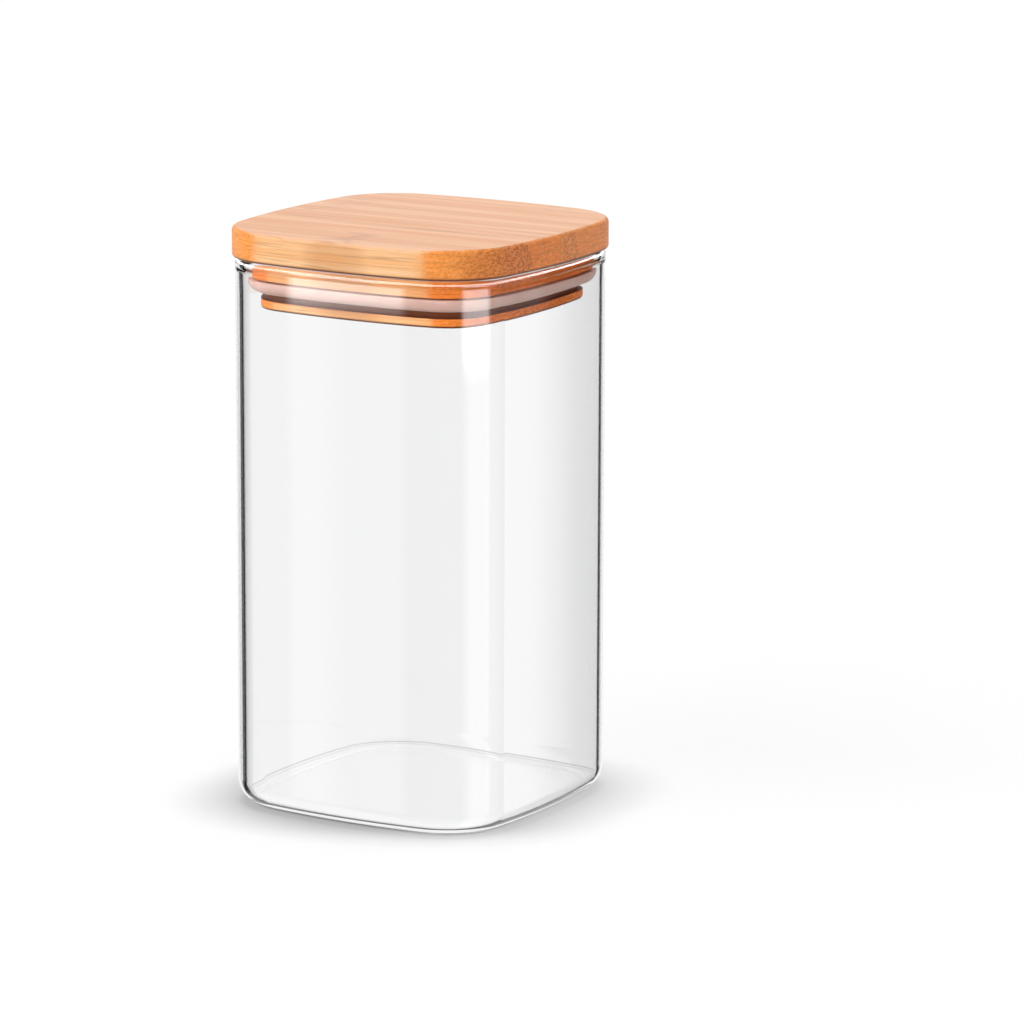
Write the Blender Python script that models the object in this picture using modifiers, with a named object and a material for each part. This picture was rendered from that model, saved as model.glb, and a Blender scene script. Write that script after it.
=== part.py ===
"""Square glass storage jar with a bamboo lid and a silicone seal.

The jar is a thin blown glass vessel. Its plan is a square with bowed sides and large round
corners, and every other outline of the jar and its lid is that outline moved in or out.
The lid is three plies of bamboo strips, glued edge to edge and milled to a board with a
stepped plug below it. A silicone ring sits in the groove of the plug.
Metres, +Z up, origin at the centre of the base's underside.
"""

import math

import bmesh
import bpy
from mathutils import Matrix, Vector

# Plan outline of the glass, outside
JAR_WIDTH = 0.0840
CORNER_RADIUS = 0.0190
SIDE_RADIUS = 0.1900
CORNER_SEGMENTS = 10
SIDE_SEGMENTS = 6

# Heights of the closed jar
CLOSED_HEIGHT = 0.1550
RIM_GAP = 0.0003

# Glass vessel
GLASS_WALL = 0.0016
BASE_THICKNESS = 0.0020
BASE_EDGE_RADIUS = 0.0060
RIM_BEAD_DIAMETER = 0.0026
RIM_BEAD_BULGE = 0.0002
BASE_EDGE_SEGMENTS = 6
BEAD_RESOLUTION = 4

# Lid board
BOARD_THICKNESS = 0.0080
BOARD_OVERHANG = 0.0008
BOARD_TOP_EDGE_RADIUS = 0.0012
BOARD_LOWER_EDGE_RADIUS = 0.0008
BOARD_EDGE_SEGMENTS = 3

# Plug below the board
PLUG_CLEARANCE = 0.0021
PLUG_SHOULDER_HEIGHT = 0.0052
FLANGE_STEP = 0.0022
FLANGE_THICKNESS = 0.0026
FLANGE_EDGE_RADIUS = 0.0009
GROOVE_DEPTH = 0.0016
GROOVE_OPEN_HEIGHT = 0.0018
FLANGE_EDGE_SEGMENTS = 3

# Silicone seal
SEAL_HEIGHT = 0.0035
SEAL_LIP_HEIGHT = 0.0003
SEAL_MOUTH_CLEARANCE = 0.0009
SEAL_FIT_CLEARANCE = 0.0003
SEAL_ROUND_SEGMENTS = 6

# Seams between the bamboo strips, as shares of half the jar's width from the middle
BOARD_SEAM_SHARES = (-0.624, -0.012, 0.600)
STAGGERED_SEAM_SHARES = (-0.318, 0.294)

# Modelling aids
CUT_OVERRUN = 0.0050
WELD_DISTANCE = 0.00001
FLAT_ANGLE = math.radians(0.2)
SHARP_ANGLE = math.radians(30.0)

# Insets from the outer outline of the glass
BEAD_RADIUS = RIM_BEAD_DIAMETER / 2
BEAD_CENTRE_INSET = BEAD_RADIUS - RIM_BEAD_BULGE
MOUTH_INSET = BEAD_CENTRE_INSET + BEAD_RADIUS
SHOULDER_INSET = MOUTH_INSET + PLUG_CLEARANCE
FLANGE_INSET = SHOULDER_INSET + FLANGE_STEP
NECK_INSET = FLANGE_INSET + GROOVE_DEPTH
SEAL_OUTER_INSET = MOUTH_INSET + SEAL_MOUTH_CLEARANCE
SEAL_INNER_INSET = NECK_INSET - SEAL_FIT_CLEARANCE

# Levels above the base's underside
BOARD_BOTTOM = CLOSED_HEIGHT - BOARD_THICKNESS
RIM_TOP = BOARD_BOTTOM - RIM_GAP
BEAD_LEVEL = RIM_TOP - BEAD_RADIUS
GROOVE_TOP = BOARD_BOTTOM - PLUG_SHOULDER_HEIGHT
SEAL_TOP = GROOVE_TOP - SEAL_FIT_CLEARANCE
SEAL_BOTTOM = SEAL_TOP - SEAL_HEIGHT
GROOVE_BOTTOM = SEAL_BOTTOM - GROOVE_OPEN_HEIGHT
PLUG_BOTTOM = GROOVE_BOTTOM - FLANGE_THICKNESS
PLY_JOINT = (BOARD_BOTTOM + PLUG_BOTTOM) / 2


def clear_scene():
    """Start from a scene with no objects in it."""
    for item in list(bpy.data.objects):
        bpy.data.objects.remove(item, do_unlink=True)


def new_collection(name):
    """A collection linked to the scene."""
    collection = bpy.data.collections.new(name)
    bpy.context.scene.collection.children.link(collection)
    return collection


def new_material(name, colour, roughness, metallic=0.0, transmission=0.0, ior=1.5):
    """A Principled material of one colour."""
    material = bpy.data.materials.new(name)
    material.use_nodes = True
    shader = material.node_tree.nodes["Principled BSDF"]
    shader.inputs["Base Color"].default_value = (*colour, 1.0)
    shader.inputs["Roughness"].default_value = roughness
    shader.inputs["Metallic"].default_value = metallic
    shader.inputs["Transmission Weight"].default_value = transmission
    shader.inputs["IOR"].default_value = ior
    material.diffuse_color = (*colour, 1.0)
    return material


def arc(centre, radius, start, stop, segments):
    """Points along an arc, from start up to but not including stop."""
    step = (stop - start) / segments
    angles = [start + step * i for i in range(segments)]
    return [Vector((centre[0] + radius * math.cos(a), centre[1] + radius * math.sin(a))) for a in angles]


def plan_outline(inset):
    """The jar's outline in plan, moved in by inset: four bowed sides joined by tangent corner arcs."""
    half = JAR_WIDTH / 2 - inset
    corner = CORNER_RADIUS - inset
    side = SIDE_RADIUS - inset
    quarter = math.pi / 4
    side_angle = math.acos((side - half) / (side - corner) / math.sqrt(2)) - quarter
    side_centre = half - side
    corner_centre = (side - corner) * math.sin(side_angle)
    points = []
    for turn in range(4):
        heading = turn * 2 * quarter
        reach = Vector((math.cos(heading), math.sin(heading)))
        across = Vector((-reach.y, reach.x))
        points += arc(reach * side_centre, side, heading - side_angle, heading + side_angle, SIDE_SEGMENTS)
        middle = (reach + across) * corner_centre
        stop = heading + 2 * quarter - side_angle
        points += arc(middle, corner, heading + side_angle, stop, CORNER_SEGMENTS)
    return points


def closed_curve(name, points, flat):
    """A cyclic curve object through points in the XY plane."""
    curve = bpy.data.curves.new(name, "CURVE")
    curve.dimensions = "2D" if flat else "3D"
    spline = curve.splines.new("POLY")
    spline.points.add(len(points) - 1)
    for target, point in zip(spline.points, points):
        target.co = (point.x, point.y, 0.0, 1.0)
    spline.use_cyclic_u = True
    item = bpy.data.objects.new(name, curve)
    bpy.context.scene.collection.objects.link(item)
    return item


def curve_to_solid(item, level, collection):
    """Turn a curve object into a welded, smoothly shaded mesh object at a level."""
    depsgraph = bpy.context.evaluated_depsgraph_get()
    mesh = bpy.data.meshes.new_from_object(item.evaluated_get(depsgraph))
    name = item.name
    bpy.data.objects.remove(item, do_unlink=True)
    shape = bmesh.new()
    shape.from_mesh(mesh)
    bmesh.ops.remove_doubles(shape, verts=shape.verts, dist=WELD_DISTANCE)
    bmesh.ops.dissolve_limit(shape, angle_limit=FLAT_ANGLE, verts=shape.verts, edges=shape.edges)
    bmesh.ops.recalc_face_normals(shape, faces=shape.faces)
    shape.to_mesh(mesh)
    shape.free()
    mesh.shade_smooth()
    mesh.set_sharp_from_angle(angle=SHARP_ANGLE)
    solid = bpy.data.objects.new(name, mesh)
    solid.location.z = level
    collection.objects.link(solid)
    return solid


def prism(name, inset, bottom, top, collection):
    """An upright solid on the jar's outline, with groups for the corners of its two edges."""
    item = closed_curve(name, plan_outline(inset), flat=True)
    item.data.fill_mode = "BOTH"
    item.data.extrude = (top - bottom) / 2
    solid = curve_to_solid(item, (bottom + top) / 2, collection)
    upper = solid.vertex_groups.new(name="upper_edge")
    lower = solid.vertex_groups.new(name="lower_edge")
    for vertex in solid.data.vertices:
        group = upper if vertex.co.z > 0.0 else lower
        group.add([vertex.index], 1.0, "REPLACE")
    return solid


def ring_tube(name, inset, level, radius, resolution, collection):
    """A round tube that follows the jar's outline."""
    item = closed_curve(name, plan_outline(inset), flat=False)
    item.data.bevel_depth = radius
    item.data.bevel_resolution = resolution
    return curve_to_solid(item, level, collection)


def stock_strip(name, low, high, bottom, top, collection):
    """A bar of bamboo stock along X between two seams, longer and thicker than its ply."""
    bpy.ops.mesh.primitive_cube_add(size=1.0)
    bar = bpy.context.active_object
    bar.name = name
    bar.data.name = name
    for owner in list(bar.users_collection):
        owner.objects.unlink(bar)
    collection.objects.link(bar)
    size = Vector((JAR_WIDTH + 2 * BOARD_OVERHANG, high - low, top - bottom))
    size += Vector((2 * CUT_OVERRUN, 0.0, 2 * CUT_OVERRUN))
    bar.data.transform(Matrix.Diagonal(size).to_4x4())
    bar.location = (0.0, (low + high) / 2, (bottom + top) / 2)
    return bar


def round_edge(item, group, radius, segments):
    """Round the edges of a prism whose corners are in a group."""
    bevel = item.modifiers.new("round_" + group, "BEVEL")
    bevel.limit_method = "VGROUP"
    bevel.vertex_group = group
    bevel.width = radius
    bevel.segments = segments
    bevel.use_clamp_overlap = False


def combine(item, other, operation):
    """Cut, join or trim a solid with another one."""
    boolean = item.modifiers.new(operation.lower() + "_" + other.name, "BOOLEAN")
    boolean.operation = operation
    boolean.solver = "EXACT"
    boolean.object = other


def as_guide(item):
    """Show a cutter or a form as a wire only."""
    item.display_type = "WIRE"
    item.hide_render = True
    return item


def finish(item, material, parent=None):
    """Give a piece its material and, on the lid, the empty that carries it."""
    item.data.materials.clear()
    item.data.materials.append(material)
    if parent:
        item.parent = parent
        item.matrix_parent_inverse = parent.matrix_world.inverted()
    return item


def glass_vessel(parts, guides):
    """A hollowed prism with a rounded base edge and a fire-polished bead rolled into the mouth."""
    vessel = prism("glass_jar", 0.0, 0.0, BEAD_LEVEL, parts)
    round_edge(vessel, "lower_edge", BASE_EDGE_RADIUS, BASE_EDGE_SEGMENTS)
    cavity = as_guide(prism("jar_cavity", GLASS_WALL, BASE_THICKNESS, CLOSED_HEIGHT, guides))
    round_edge(cavity, "lower_edge", BASE_EDGE_RADIUS - GLASS_WALL, BASE_EDGE_SEGMENTS)
    bead = as_guide(ring_tube("rim_bead", BEAD_CENTRE_INSET, BEAD_LEVEL, BEAD_RADIUS, BEAD_RESOLUTION, guides))
    combine(vessel, cavity, "DIFFERENCE")
    combine(vessel, bead, "UNION")
    return vessel


def lid_forms(guides):
    """The milled shapes of the lid's three plies: board, upper plug and lower plug."""
    board = as_guide(prism("board_form", -BOARD_OVERHANG, BOARD_BOTTOM, CLOSED_HEIGHT, guides))
    round_edge(board, "upper_edge", BOARD_TOP_EDGE_RADIUS, BOARD_EDGE_SEGMENTS)
    round_edge(board, "lower_edge", BOARD_LOWER_EDGE_RADIUS, BOARD_EDGE_SEGMENTS)

    neck = as_guide(prism("neck_core", NECK_INSET, PLUG_BOTTOM, BOARD_BOTTOM, guides))
    groove = as_guide(prism("seal_groove", 0.0, GROOVE_BOTTOM, GROOVE_TOP, guides))
    combine(groove, neck, "DIFFERENCE")

    shoulder = as_guide(prism("plug_upper_form", SHOULDER_INSET, PLY_JOINT, BOARD_BOTTOM, guides))
    combine(shoulder, groove, "DIFFERENCE")
    flange = as_guide(prism("plug_lower_form", FLANGE_INSET, PLUG_BOTTOM, PLY_JOINT, guides))
    round_edge(flange, "lower_edge", FLANGE_EDGE_RADIUS, FLANGE_EDGE_SEGMENTS)
    combine(flange, groove, "DIFFERENCE")
    return board, shoulder, flange


def glued_ply(name, form, inset, seam_shares, bottom, top, tones, parts, lid):
    """One ply of the lid: bars of stock side by side, each milled to the ply's form."""
    reach = JAR_WIDTH / 2 - inset + CUT_OVERRUN
    seams = [share * JAR_WIDTH / 2 for share in seam_shares]
    edges = [-reach, *seams, reach]
    for index, (low, high) in enumerate(zip(edges, edges[1:])):
        strip = stock_strip(f"{name}_strip_{index + 1}", low, high, bottom, top, parts)
        combine(strip, form, "INTERSECT")
        finish(strip, tones[index % len(tones)], lid)


def bamboo_lid(parts, guides, lid):
    """The board of the lid and the two plies of its plug, with the seams staggered."""
    tones = [
        new_material("bamboo_light", (0.80, 0.53, 0.33), 0.55),
        new_material("bamboo_warm", (0.74, 0.46, 0.27), 0.55),
        new_material("bamboo_pale", (0.84, 0.58, 0.38), 0.55),
        new_material("bamboo_deep", (0.69, 0.41, 0.22), 0.55),
    ]
    board, shoulder, flange = lid_forms(guides)
    glued_ply("lid_board", board, -BOARD_OVERHANG, BOARD_SEAM_SHARES,
              BOARD_BOTTOM, CLOSED_HEIGHT, tones, parts, lid)
    glued_ply("plug_upper", shoulder, SHOULDER_INSET, STAGGERED_SEAM_SHARES,
              PLY_JOINT, BOARD_BOTTOM, tones, parts, lid)
    glued_ply("plug_lower", flange, FLANGE_INSET, BOARD_SEAM_SHARES,
              PLUG_BOTTOM, PLY_JOINT, tones, parts, lid)


def silicone_seal(parts, guides, lid):
    """A ring with a quarter-round outside, widest at its upper lip."""
    seal = prism("silicone_seal", SEAL_OUTER_INSET, SEAL_BOTTOM, SEAL_TOP, parts)
    round_edge(seal, "lower_edge", SEAL_HEIGHT - SEAL_LIP_HEIGHT, SEAL_ROUND_SEGMENTS)
    low = SEAL_BOTTOM - CUT_OVERRUN
    hole = as_guide(prism("seal_hole", SEAL_INNER_INSET, low, SEAL_TOP + CUT_OVERRUN, guides))
    combine(seal, hole, "DIFFERENCE")
    finish(seal, new_material("translucent_silicone", (0.80, 0.74, 0.71), 0.45), lid)


def main():
    clear_scene()
    parts = new_collection("glass_storage_jar")
    guides = new_collection("cutters_and_forms")

    lid = bpy.data.objects.new("lid_lift", None)
    lid.location.z = RIM_TOP
    lid.empty_display_size = CORNER_RADIUS
    parts.objects.link(lid)
    bpy.context.view_layer.update()

    vessel = glass_vessel(parts, guides)
    finish(vessel, new_material("clear_glass", (0.95, 0.97, 0.97), 0.02, transmission=1.0, ior=1.47))
    bamboo_lid(parts, guides, lid)
    silicone_seal(parts, guides, lid)


main()
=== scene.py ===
"""Looks of the glass storage jar: clear blown glass, a lid of glued bamboo strips, a silicone ring.

Every piece is a surface worked out on a grid. The plan of the jar is four bowed sides joined by
round corners, and each outline of the glass, the lid and the ring is that plan moved in or out.
Metres, +Z up. Patterns on the bamboo, the ring, the cards and the floor are drawn in millimetres.
"""

import math

import bmesh
import bpy
import numpy as np
from mathutils import Matrix, Vector


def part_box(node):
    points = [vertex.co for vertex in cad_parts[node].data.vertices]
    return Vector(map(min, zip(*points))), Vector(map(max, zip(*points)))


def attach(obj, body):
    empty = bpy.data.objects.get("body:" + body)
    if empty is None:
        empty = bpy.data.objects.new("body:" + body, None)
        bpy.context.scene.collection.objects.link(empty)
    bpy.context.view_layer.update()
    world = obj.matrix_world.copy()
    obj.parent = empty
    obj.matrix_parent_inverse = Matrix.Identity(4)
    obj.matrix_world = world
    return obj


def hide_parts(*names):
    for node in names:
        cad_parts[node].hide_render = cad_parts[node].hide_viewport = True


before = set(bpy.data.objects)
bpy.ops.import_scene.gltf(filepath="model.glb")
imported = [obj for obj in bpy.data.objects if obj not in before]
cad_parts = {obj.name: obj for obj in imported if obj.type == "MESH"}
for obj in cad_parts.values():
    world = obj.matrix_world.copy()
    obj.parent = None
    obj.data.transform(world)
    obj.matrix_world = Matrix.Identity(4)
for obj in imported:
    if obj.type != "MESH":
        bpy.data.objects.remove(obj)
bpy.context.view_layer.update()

MM = 0.001

# Meshes
MERGE_DISTANCE = 0.002 * MM
SLIVER_LENGTH = 0.001 * MM
SHARP_ANGLE = math.radians(30.0)
GLASS_SHARP_ANGLE = math.radians(60.0)
DISC_STEPS = 8
CIRCLE_STEPS = 96

# Plan of the glass, outside
CORNER_RADIUS = 19.0 * MM
SIDE_RADIUS = 190.0 * MM
CORNER_STEPS = 36
SIDE_STEPS = 12

# Glass
GLASS_WALL = 1.6 * MM
WALL_DRIFT = 0.28 * MM
WALL_DRIFT_HEADING = math.radians(211.8)
BASE_THICKNESS = 1.35 * MM
BASE_EDGE_RADIUS = 6.0 * MM
RIM_BEAD_RADIUS = 1.3 * MM
RIM_BEAD_BULGE = 0.06 * MM
RIM_OUTER_FLARE = 0.9 * MM
RIM_INNER_FLARE = 2.4 * MM
CAD_BEAD_BULGE = 0.2 * MM
FILLET_STEPS = 24
FLARE_STEPS = 12
WALL_STEPS = 30
GLASS_IOR = 1.47
GLASS_TINT = (0.965, 0.966, 0.967)
GLASS_SHADOW_TINT = (0.99, 0.99, 0.99)

# Bamboo lid
BOARD_TOP_EDGE_RADIUS = 1.2 * MM
BOARD_LOWER_EDGE_RADIUS = 0.8 * MM
GROOVE_DEPTH = 1.6 * MM
FLANGE_EDGE_RADIUS = 0.9 * MM
FLANGE_THICKNESS = 2.6 * MM
MILLED_EASE = 0.25 * MM
SEAM_EASE = 0.06 * MM
OUTER_STRIP_SHARE = 0.9
ACROSS_STEPS = 14
ALONG_STEPS = 36
TOP_EDGE_STEPS = 10
EDGE_STEPS = 8
FACE_STEPS = 6
SHORT_STEPS = 4
LEDGE_STEPS = 3

# Figure of each strip: its seed, its knuckle's place along the grain and strength, where the dense
# fibres of its end start, are thickest and end across the strip, their share, and the power that
# deepens its colour
FIGURE_NAMES = (
    "Seed", "Knuckle", "Knuckle Share", "Dense Start", "Dense Full", "Dense End", "Dense Share",
    "Depth of Colour")
STRIP_FIGURES = {
    "bamboo_board_1": (3.1, -1.0, 0.75, -44.0, -27.5, -20.0, 0.75, 1.0),
    "bamboo_board_2": (17.4, 61.0, 0.0, -27.5, -25.0, -14.5, 1.0, 1.06),
    "bamboo_board_3": (29.8, -33.0, 0.35, -1.5, 3.0, 8.5, 0.75, 1.0),
    "bamboo_board_4": (41.2, 20.0, 0.3, 26.0, 31.0, 36.0, 0.6, 1.05),
    "bamboo_upper_plug_1": (53.9, 14.0, 0.4, -33.0, -20.0, -15.0, 0.5, 1.2),
    "bamboo_upper_plug_2": (67.3, -60.0, 0.0, -6.0, 2.0, 6.0, 0.6, 1.2),
    "bamboo_upper_plug_3": (71.6, -18.0, 0.3, 17.0, 22.0, 30.0, 0.6, 1.2),
    "bamboo_lower_plug_1": (83.5, 8.0, 0.3, -31.0, -24.0, -20.0, 0.3, 1.2),
    "bamboo_lower_plug_2": (97.0, -12.0, 0.3, -16.0, -9.0, -4.0, 0.3, 1.2),
    "bamboo_lower_plug_3": (103.7, 24.0, 0.3, 2.0, 8.0, 13.0, 0.4, 1.2),
    "bamboo_lower_plug_4": (111.1, -25.0, 0.3, 24.0, 28.0, 32.0, 0.4, 1.2),
}

# Clouds of the bamboo: features per millimetre along X, Y and Z, detail, start and full value
BAMBOO_CLOUDS = {
    "streak": ((0.005, 0.16, 0.40), 2.0, 0.38, 0.62),
    "vein share": ((0.012, 0.20, 0.50), 2.0, 0.40, 0.60),
    "layer": ((0.0045, 0.05, 0.95), 3.0, 0.44, 0.62),
    "blot": ((0.12, 0.28, 0.60), 3.0, 0.42, 0.60),
}

# Thin lines of the bamboo: features per millimetre along X, Y and Z, detail, width
BAMBOO_LINES = {
    "vein": ((0.006, 0.34, 0.85), 1.5, 0.035),
    "layer edge": ((0.006, 0.05, 0.80), 2.0, 0.03),
    "end layer": ((0.01, 0.05, 1.1), 2.0, 0.05),
}

# Long grain: colours on level and on upright faces where two are given, and shares of each mark
UPRIGHT_RANGE = (0.25, 0.75)
PALE_GRAIN = ((0.97, 0.575, 0.37), (0.98, 0.61, 0.33))
DARK_GRAIN = ((0.88, 0.455, 0.255), (0.96, 0.53, 0.25))
KNUCKLE_STAIN = ((0.66, 0.35, 0.21), (0.90, 0.42, 0.15))
KNUCKLE_REACH = (1.0, 8.0)
FIBRE_FREQUENCY = (0.035, 2.2, 2.6)
FIBRE_DETAIL = 4.0
FIBRE_RANGE = (0.30, 0.70)
FIBRE_COLOUR = (0.66, 0.33, 0.14)
FIBRE_SHARE = 0.25
VEIN_COLOUR = (0.52, 0.24, 0.11)
VEIN_SHARE = 0.55
UPRIGHT_VEIN_SHARE = 0.45
LAYER_COLOUR = (0.93, 0.45, 0.17)
LAYER_EDGE_COLOUR = (0.40, 0.17, 0.05)
LAYER_SHARE = 0.45

# End grain
END_RANGE = (0.09, 0.30)
END_TURN_RANGE = (0.55, 0.98)
END_COLOURS = ((1.0, 0.335, 0.055), (0.87, 0.245, 0.034))
END_CLOUD_FREQUENCY = (0.01, 0.35, 0.55)
END_CLOUD_DETAIL = 3.0
END_CLOUD_RANGE = (0.35, 0.65)
END_CLOUD_COLOUR = (0.60, 0.17, 0.03)
END_CLOUD_SHARE = 0.20
DENSE_SLANT = 0.375
DENSE_COLOUR = (0.42, 0.12, 0.02)
DENSE_SHARE = 0.30
BUNDLE_TURN = (math.radians(38.0), 0.0, 0.0)
BUNDLE_SCALE = (1.1, 1.1, 1.8)
DOT_RANGE = (0.15, 0.50)
DOT_COLOUR = (0.20, 0.05, 0.008)
DOT_SHARE = 0.14
DENSE_DOT_SHARE = 0.55
FLECK_RANGE = (0.50, 0.80)
FLECK_COLOUR = (1.0, 0.47, 0.17)
FLECK_SHARE = 0.30
END_LAYER_COLOUR = (0.42, 0.13, 0.03)
END_LAYER_SHARE = 0.35

# Marks of the joinery on every strip, and painted shade on its lower edge and in the plug's groove.
# The groove's painted shade runs from a little below its bottom to a little above the foot of the ring in it
GLUE_REACH = (0.05, 0.35)
GLUE_COLOUR = (0.45, 0.20, 0.08)
GLUE_SHARE = 0.35
LOWER_EDGE_SHADE_REACH = (0.30, 0.95)
LOWER_EDGE_SHADE_TURN = (-0.98, -0.85)
LOWER_EDGE_SHADE_COLOUR = (0.09, 0.018, 0.002)
LOWER_EDGE_SHADE_SHARE = 0.95
GROOVE_SHADE_BELOW = 0.05
GROOVE_SHADE_ABOVE_FOOT = 0.4
GROOVE_SHADE_FADE = 0.15
GROOVE_SHADE_COLOUR = (0.16, 0.030, 0.005)
GROOVE_SHADE_SHARE = 0.93
BAMBOO_ROUGHNESS = (0.50, 0.42)
FIBRE_RELIEF = 0.6
DOT_RELIEF = 0.5
BAMBOO_BUMP = 0.35
BAMBOO_RELIEF = 0.05 * MM
BAMBOO_IOR = 1.45
BOARD_SHEEN = 0.5
PLUG_SHEEN = 0.15

# Silicone ring
RING_LIP = 0.3 * MM
RING_NECK_CLEARANCE = 0.3 * MM
RING_TOP_CLEARANCE = 0.3 * MM
RING_ROUND_STEPS = 16
RING_EASE_STEPS = 3
SILICONE_COLOURS = ((0.67, 0.43, 0.36), (0.73, 0.50, 0.43))
SILICONE_HAZE_FREQUENCY = (0.12, 0.12, 0.20)
SILICONE_HAZE_DETAIL = 3.0
SILICONE_HAZE_RANGE = (0.35, 0.65)
SILICONE_ROUGHNESS_RANGE = (0.3, 0.7)
SILICONE_ROUGHNESS = (0.34, 0.46)
SILICONE_GRAIN_FREQUENCY = (3.0, 3.0, 3.0)
SILICONE_BUMP = 0.2
SILICONE_RELIEF = 0.02 * MM
SILICONE_IOR = 1.41
SILICONE_DEPTH_SHARE = 0.6
SILICONE_DEPTH_COLOURS = (1.0, 0.85, 0.8)
SILICONE_DEPTH = 2.5 * MM

# Camera, as the photograph was taken
CAMERA_AZIMUTH = math.radians(31.81)
CAMERA_DISTANCE = 1409.66 * MM
CAMERA_HEIGHT = 376.14 * MM
CAMERA_TURN = 0.0171
CAMERA_PITCH = 0.2093
CAMERA_ROLL = 0.0032
CAMERA_LENS = 190.48
CAMERA_SENSOR = 36.0

# Lamp
KEY_STRENGTH = 1.9
KEY_ANGLE = math.radians(50.0)
KEY_TOWARDS = (-0.42, -0.82, 0.80)

# World: levels, and fades over degrees off the camera's axis or parts of the direction
SKY_LEVEL = 0.58
FILL_LEVEL = 1.80
FILL_SLOPE = 0.80
FILL_TOWARDS = (-0.70, -0.71, 0.0)
FILL_REST = 0.30
FILL_HEIGHT = 0.40
FILL_FADE = 0.25
CARD_LEVEL = 1.0
FAR_RIGHT_LEVEL = 0.65
MIRROR_LEVEL = 0.12
MIRROR_GAP_DROP = 0.08
AXIS_CARD_FADE = (25.0, 31.0)
SIDE_CARD_FADE = (62.0, 70.0)
FAR_RIGHT_TOWARDS = (-0.10, 0.10)
FAR_RIGHT_ASIDE = (0.0, 0.5)
STEEP_SKIN = (-0.95, -0.80)
STEEP_MIRROR = (-0.60, -0.40)
BACKDROP_GAIN = 0.10
BACKDROP_GAIN_ASIDE = (0.021, 0.034)
BACKDROP_GAIN_FADE = 0.009
ONE_SKIN_DEPTH = 2.5

# Cards that polished surfaces mirror: degrees round the jar from the camera, and millimetres up
CARD_ROWS = 5
SCREEN_RADIUS = 300.0 * MM
SCREEN_BOTTOM = -80.0 * MM
SCREEN_TOP = 200.0 * MM
CARD_TOP_FADE = (160.0, 166.0)
LEFT_CARD_STRENGTH = 11.0
LEFT_CARD_TURN = (-69.0, -47.0)
LEFT_CARD_FADE = 3.0
LEFT_CARD_RISE = (89.0, 99.0)
LEFT_CARD_LOW_SHARE = 0.09
RIGHT_CARD_STRENGTH = 9.5
RIGHT_CARD_TURN = (26.0, 55.0)
RIGHT_CARD_FADE = 10.0
RIGHT_CARD_RISE = (70.0, 92.0)
RIGHT_CARD_LOW_SHARE = 0.04
RIM_CARD_RADIUS = 75.0 * MM
RIM_CARD_ABOVE = 2.5 * MM
RIM_CARD_REACH = 36.0 * MM
RIM_CARD_STRENGTH = 11.0
RIM_CARD_END = (-45.0, -30.0)

# Cards on the floor, a painted contact shadow: start and stop insets, level, and whether light
# through one skin sees them
CONTACT_LEVEL = -0.25 * MM
CONTACT_SHADOW_CARDS = {
    "contact_shadow_card": (4.1 * MM, 2.0 * MM, 0.07, True),
    "inner_far_shadow_card": (-0.2 * MM, -1.3 * MM, 0.84, False),
    "outer_far_shadow_card": (-2.7 * MM, -4.3 * MM, 0.74, False),
}

# Floor: shade under the jar, with its fades in millimetres towards the camera and to its right
FLOOR_LEVEL = -0.3 * MM
FLOOR_RADIUS = 10.0
FLOOR_GLOW = 0.72
FLOOR_SHARE = 0.30
FLOOR_LIT_COLOUR = (0.8, 0.8, 0.8)
FLOOR_SHADE_REACH = 22.0 * MM
FLOOR_SHADE_SAMPLES = 16
FLOOR_OPEN_SLOPE = 0.84
FLOOR_OPEN_REST = 0.16
FLOOR_DARKEST = 0.52
FLOOR_DARKEST_EASE = 0.10
FLOOR_CONTACT_RANGE = (0.03, 0.12)
FLOOR_CONTACT_SHARE = 0.35
FLOOR_SHADE_END = (34.0, 64.0)
FLOOR_SHADE_SIDES = (-30.0, 45.0)
FLOOR_SIDE_SHARES = (1.05, 0.78)

glass_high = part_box("glass_jar")[1]
board_low, board_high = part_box("lid_board_strip_2")
HALF_WIDTH = glass_high.x - CAD_BEAD_BULGE
RIM_TOP = glass_high.z
BOARD_MIDDLE = (board_low.z + board_high.z) / 2
GROOVE_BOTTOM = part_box("plug_lower_strip_2")[0].z + FLANGE_THICKNESS
RING_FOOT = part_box("silicone_seal")[0].z


# Plan and sections


def corner_place():
    """Half of a side's arc as an angle, and the distance of a corner's centre from both axes.

    The arcs of a side and a corner touch on the line through their centres, and the corner's
    centre lies on the plan's diagonal.
    """
    side_angle = math.acos((SIDE_RADIUS - HALF_WIDTH) / (SIDE_RADIUS - CORNER_RADIUS) / math.sqrt(2))
    side_angle -= math.pi / 4
    return side_angle, (SIDE_RADIUS - CORNER_RADIUS) * math.sin(side_angle)


def outline_frame():
    """Arc centre, arc radius and outward normal at each point round the jar's plan.

    The plan is eight tangent arcs, so its point at a given inset is the centre plus the normal
    times the radius less the inset.
    """
    side_angle, corner_centre = corner_place()
    side = np.linspace(-side_angle, side_angle, SIDE_STEPS, endpoint=False)
    corner = np.linspace(side_angle, math.pi / 2 - side_angle, CORNER_STEPS, endpoint=False)
    angle = np.concatenate([side, corner])
    on_side = np.arange(angle.size) < SIDE_STEPS
    radius = np.where(on_side, SIDE_RADIUS, CORNER_RADIUS)
    reach = np.where(on_side, HALF_WIDTH - SIDE_RADIUS, corner_centre)
    across = np.where(on_side, 0.0, corner_centre)
    turns = np.arange(4)[:, None] * math.pi / 2
    centre_x = (reach * np.cos(turns) - across * np.sin(turns)).ravel()
    centre_y = (reach * np.sin(turns) + across * np.cos(turns)).ravel()
    heading = (angle + turns).ravel()
    normal = np.stack([np.cos(heading), np.sin(heading)], axis=1)
    return np.stack([centre_x, centre_y], axis=1), np.tile(radius, 4), normal


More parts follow.
